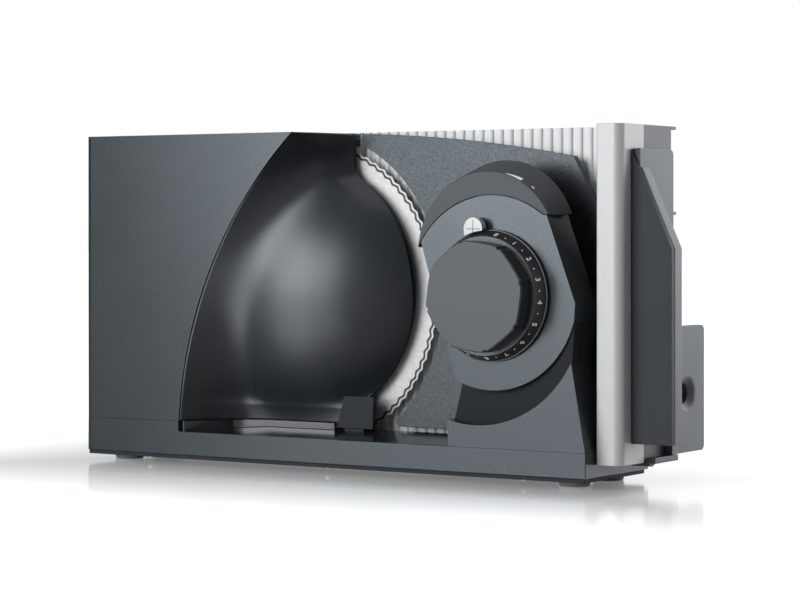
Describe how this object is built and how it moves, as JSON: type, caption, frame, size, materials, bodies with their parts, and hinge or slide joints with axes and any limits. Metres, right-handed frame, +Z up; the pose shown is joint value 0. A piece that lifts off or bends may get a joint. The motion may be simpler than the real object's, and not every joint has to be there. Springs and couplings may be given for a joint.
{
  "type": "electric food slicer",
  "caption": "Electric food slicer standing on a long base, with a round blade behind a domed gear cover, a thickness dial that moves the stop plate, and a folding ribbed food carriage.",
  "frame": {"origin": "on the table, under the middle of the object's overall box", "axes": "+X to the right along the base as seen from the front, +Y from the dial side to the carriage side, +Z up"},
  "size_m": [0.3582, 0.114, 0.183],
  "materials": {
    "paint_grey": "fine-grained metallic dark grey lacquer, satin",
    "stop_grey": "fine-grained metallic dark grey lacquer on a plate, satin",
    "gloss_black": "glossy black",
    "satin_black": "satin gloss black",
    "dark_plastic": "dark grey matte",
    "frame_grey": "mid grey satin",
    "scoop_black": "dark satin",
    "dial_grey": "blue-grey satin",
    "dial_black": "black satin with pale marks",
    "switch_grey": "blue-grey satin",
    "button_grey": "light grey satin",
    "holder_grey": "dark blue-grey satin",
    "rib_silver": "pale satin metal with vertical ribs",
    "wall_silver": "satin silver",
    "blade_steel": "ground steel with radial brushing",
    "steel": "plain steel",
    "magnet": "dark ferrite",
    "brass": "plain brass",
    "gear_white": "off-white moulded",
    "board": "green board",
    "rubber": "grey rubber"
  },
  "bodies": {
    "frame": {"base": "paint_grey", "bottom_cover": "dark_plastic", "feet": "rubber", "tray": "gloss_black", "motor_housing": "paint_grey", "rear_plate": "dark_plastic", "gear_cover": "satin_black", "blade_guard": "dark_plastic", "motor_can": "steel", "motor_magnets": "magnet", "motor_posts": "steel", "spindle_bush": "brass", "idler_pin": "steel", "circuit_board": "board", "cord_inlet": "rubber", "rail": "steel", "housing_screws": "steel", "base_screws": "steel", "pedestal": "paint_grey", "pedestal_back": "dark_plastic", "pedestal_scoop": "scoop_black", "micro_switch": "dark_plastic", "index_spring": "steel"},
    "blade_rotor": {"blade": "blade_steel", "blade_spindle": "steel", "blade_gear": "gear_white", "blade_screws": "steel"},
    "idler": {"idler_gear": "gear_white"},
    "motor": {"motor_rotor": "brass", "motor_pinion": "brass"},
    "dial": {"dial_grip": "dial_grey", "dial_skirt": "dial_black", "dial_shaft": "steel"},
    "stop": {"stop_plate": "stop_grey", "guide_rods": "steel", "cam_follower": "steel"},
    "index": {"index_button": "button_grey"},
    "power": {"power_switch": "switch_grey"},
    "slider": {"slider": "dark_plastic", "hinge_pin": "steel"},
    "carriage": {"carriage_plate": "rib_silver", "carriage_frame": "frame_grey", "end_wall": "wall_silver"},
    "holder": {"holder_panel": "holder_grey", "guard_front": "holder_grey", "guard_rear": "holder_grey"}
  },
  "joints": [
    {"name": "blade_spin", "type": "hinge", "parent": "frame", "child": "blade_rotor", "pos_m": [-0.0591, 0.008, 0.094], "axis": [0, 1, 0], "continuous": true},
    {"name": "idler_spin", "type": "hinge", "parent": "frame", "child": "idler", "pos_m": [-0.09933, -0.008, 0.08193], "axis": [0, 1, 0], "continuous": true},
    {"name": "motor_spin", "type": "hinge", "parent": "frame", "child": "motor", "pos_m": [-0.12831, -0.016, 0.0897], "axis": [0, 1, 0], "continuous": true},
    {"name": "dial_turn", "type": "hinge", "parent": "frame", "child": "dial", "pos_m": [0.0879, -0.04, 0.0962], "axis": [0, -1, 0], "range_deg": [0, 300]},
    {"name": "stop_slide", "type": "slide", "parent": "frame", "child": "stop", "axis": [0, -1, 0], "range_m": [0, 0.015]},
    {"name": "index_press", "type": "slide", "parent": "frame", "child": "index", "axis": [0, 1, 0], "range_m": [0, 0.0015], "stiffness_N_per_m": 300},
    {"name": "power_press", "type": "slide", "parent": "frame", "child": "power", "axis": [0, 1, 0], "range_m": [0, 0.002], "stiffness_N_per_m": 400},
    {"name": "carriage_slide", "type": "slide", "parent": "frame", "child": "slider", "axis": [1, 0, 0], "range_m": [0, 0.05]},
    {"name": "carriage_fold", "type": "hinge", "parent": "slider", "child": "carriage", "pos_m": [0.0469, 0.034, 0.0258], "axis": [-1, 0, 0], "range_deg": [0, 90]},
    {"name": "holder_lift", "type": "slide", "parent": "carriage", "child": "holder", "axis": [0, 0, 1], "range_m": [0, 0.04]}
  ],
  "couplings": [
    {"joint": "idler_spin", "follows": "blade_spin", "ratio": -4},
    {"joint": "motor_spin", "follows": "blade_spin", "ratio": 16},
    {"joint": "dial_turn", "follows": "stop_slide", "rad_per_m": 349.06}
  ]
}
